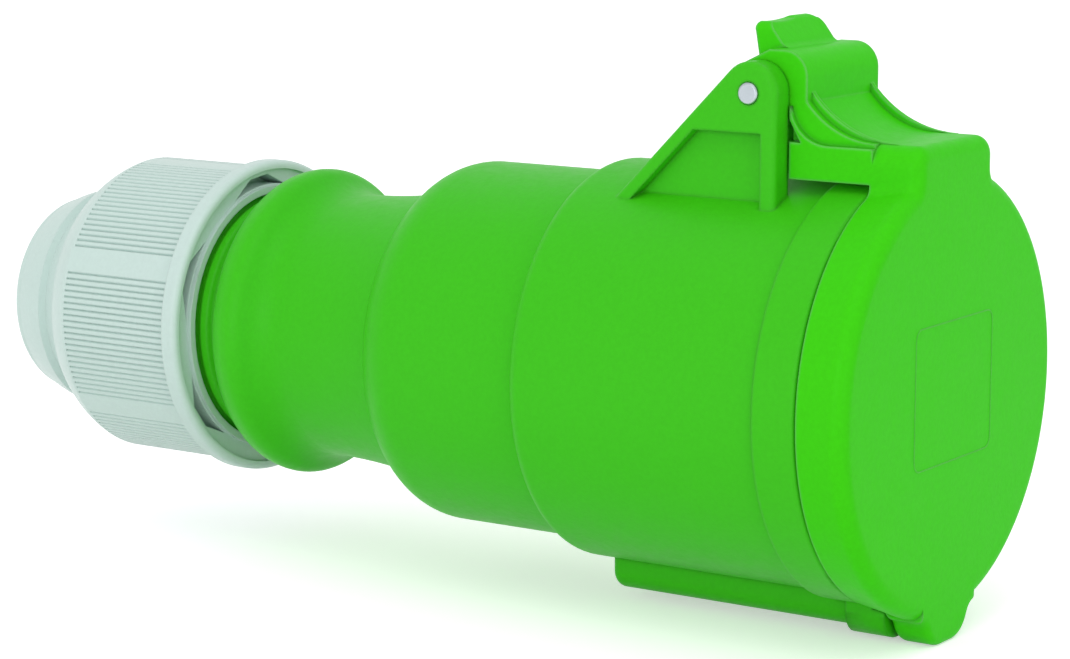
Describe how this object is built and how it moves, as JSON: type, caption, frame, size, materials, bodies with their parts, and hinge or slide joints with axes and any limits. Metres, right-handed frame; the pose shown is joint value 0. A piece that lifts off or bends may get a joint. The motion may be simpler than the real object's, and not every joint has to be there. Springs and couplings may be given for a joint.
{
  "type": "industrial power connector",
  "caption": "Round cable-end power socket with a sprung hinged lid, a moulded grip and a screwed cable gland nut.",
  "frame": {"origin": "centre of the cable entry hole in the rear face of the union nut", "axes": "+X along the connector's axis from the cable entry to the lid, +Z towards the lid hinge, key channel towards -Z"},
  "size_m": [0.1565, 0.061, 0.0838],
  "materials": {
    "housing_plastic": "satin moulded",
    "shell_plastic": "satin moulded",
    "lid_plastic": "satin moulded",
    "nut_plastic": "satin moulded",
    "cage_plastic": "satin moulded",
    "insert_plastic": "matte moulded",
    "seal_rubber": "matte",
    "contact_brass": "turned",
    "spring_steel": "drawn wire and strip",
    "pin_steel": "polished end",
    "screw_steel": "zinc plated"
  },
  "bodies": {
    "housing": {"front_housing": "housing_plastic", "rear_shell": "shell_plastic", "hinge_pin": "pin_steel", "lid_spring": "spring_steel", "earth_chamber": "insert_plastic", "phase_top_chamber": "insert_plastic", "phase_bottom_chamber": "insert_plastic", "terminal_cover": "insert_plastic", "earth_sleeve": "contact_brass", "phase_top_sleeve": "contact_brass", "phase_bottom_sleeve": "contact_brass", "earth_spring_ring": "spring_steel", "phase_top_spring_ring": "spring_steel", "phase_bottom_spring_ring": "spring_steel", "earth_terminal_screw": "screw_steel", "phase_top_terminal_screw": "screw_steel", "phase_bottom_terminal_screw": "screw_steel", "body_seal": "seal_rubber", "housing_lock": "housing_plastic", "clamp_cage": "cage_plastic", "cable_seal": "seal_rubber"},
    "lid": {"lid": "lid_plastic", "lid_seal": "seal_rubber"},
    "thrust_ring": {"thrust_ring": "cage_plastic"},
    "nut": {"union_nut": "nut_plastic"}
  },
  "joints": [
    {"name": "lid_hinge", "type": "hinge", "parent": "housing", "child": "lid", "pos_m": [0.1324, 0, 0.0403], "axis": [0, -1, 0], "range_deg": [0, 110], "stiffness_Nm_per_rad": 0.05, "springref_deg": -85.94, "deforming": ["lid_spring"]},
    {"name": "nut_travel", "type": "slide", "parent": "housing", "child": "thrust_ring", "axis": [-1, 0, 0], "range_m": [0, 0.006]},
    {"name": "nut_turn", "type": "hinge", "parent": "thrust_ring", "child": "nut", "pos_m": [0, 0, 0], "axis": [-1, 0, 0], "range_deg": [0, 720]}
  ],
  "couplings": [
    {"joint": "nut_travel", "follows": "nut_turn", "m_per_rad": 0.00047746}
  ]
}
